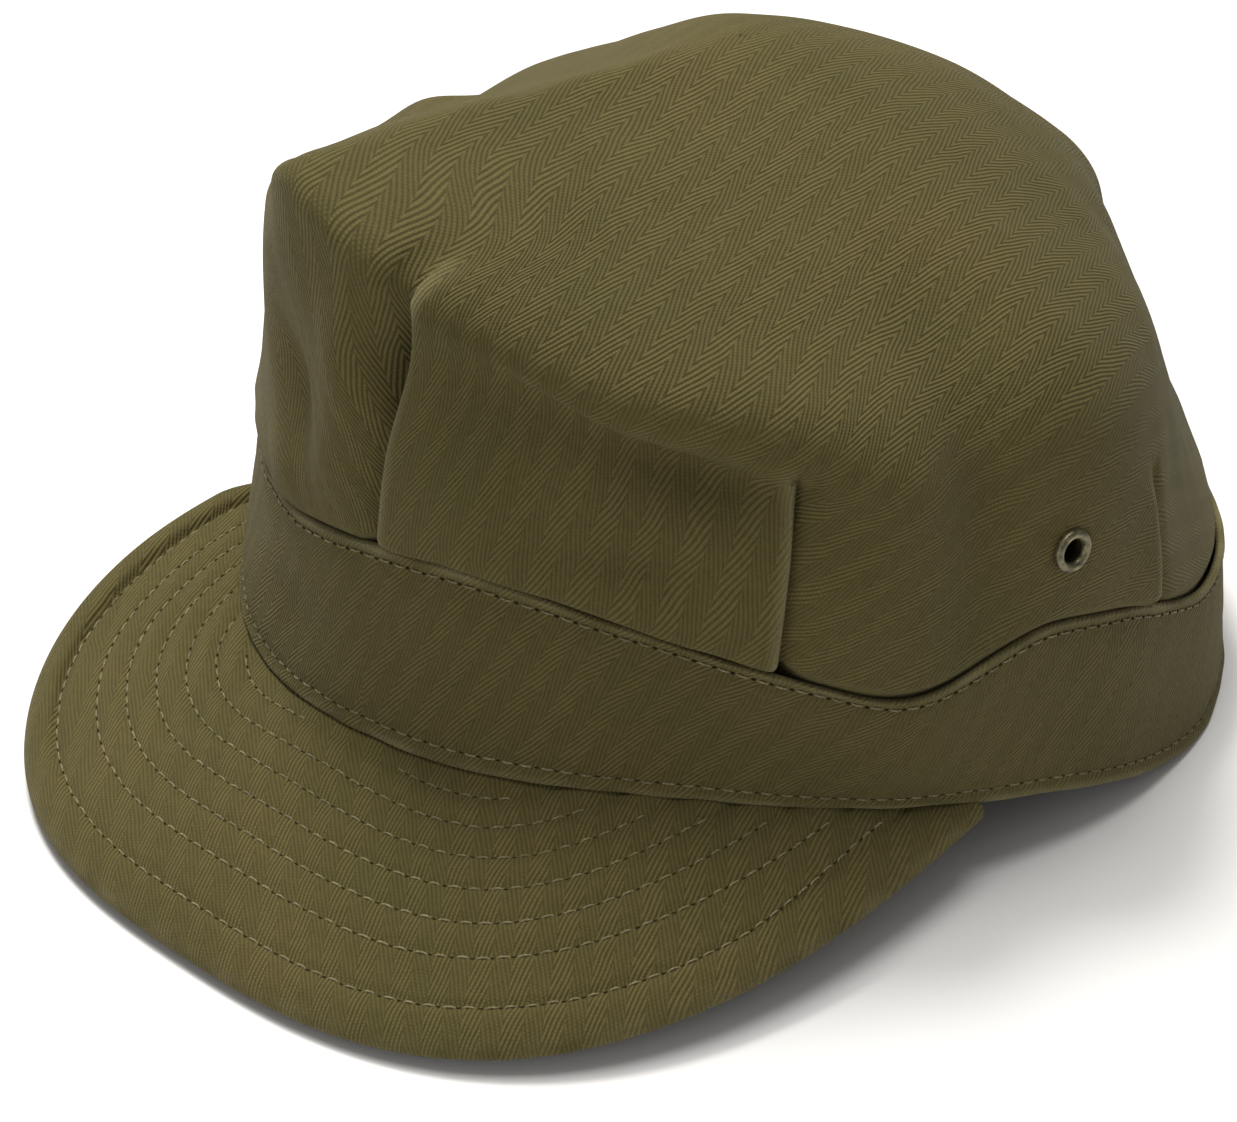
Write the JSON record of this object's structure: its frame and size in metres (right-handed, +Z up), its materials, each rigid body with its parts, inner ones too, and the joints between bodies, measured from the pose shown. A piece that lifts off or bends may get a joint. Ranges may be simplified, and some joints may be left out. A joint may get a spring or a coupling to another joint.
{
  "type": "visored field cap",
  "caption": "Soft olive field cap in herringbone twill with a pleated crown, a wide stitched headband and a short quilted visor.",
  "frame": {"origin": "centre of the cap's footprint on the surface it stands on", "axes": "+Z up, -Y the way the visor points, +X the wearer's left"},
  "size_m": [0.1804, 0.234, 0.1198],
  "materials": {
    "twill": "matte herringbone twill, faintly napped",
    "lining": "matte plain cotton",
    "canvas": "stiff unbleached canvas",
    "thread": "waxed cotton thread",
    "eyelet": "worn olive paint over brass, semi-gloss",
    "label": "blank woven cotton tape"
  },
  "bodies": {
    "root": {"crown": "twill", "headband_outer": "twill", "visor_top_cloth": "twill", "visor_bottom_cloth": "twill", "visor_seam_allowance": "twill", "headband_lining": "lining", "sweatband": "lining", "headband_interlining": "canvas", "visor_stiffener": "canvas", "headband_top_stitching": "thread", "headband_bottom_stitching": "thread", "visor_quilting_row_1": "thread", "visor_quilting_row_2": "thread", "visor_quilting_row_3": "thread", "visor_quilting_row_4": "thread", "visor_quilting_row_5": "thread", "visor_quilting_row_6": "thread", "visor_edge_stitching": "thread", "eyelet_left": "eyelet", "eyelet_washer_left": "eyelet", "eyelet_right": "eyelet", "eyelet_washer_right": "eyelet", "size_label": "label"}
  },
  "joints": []
}
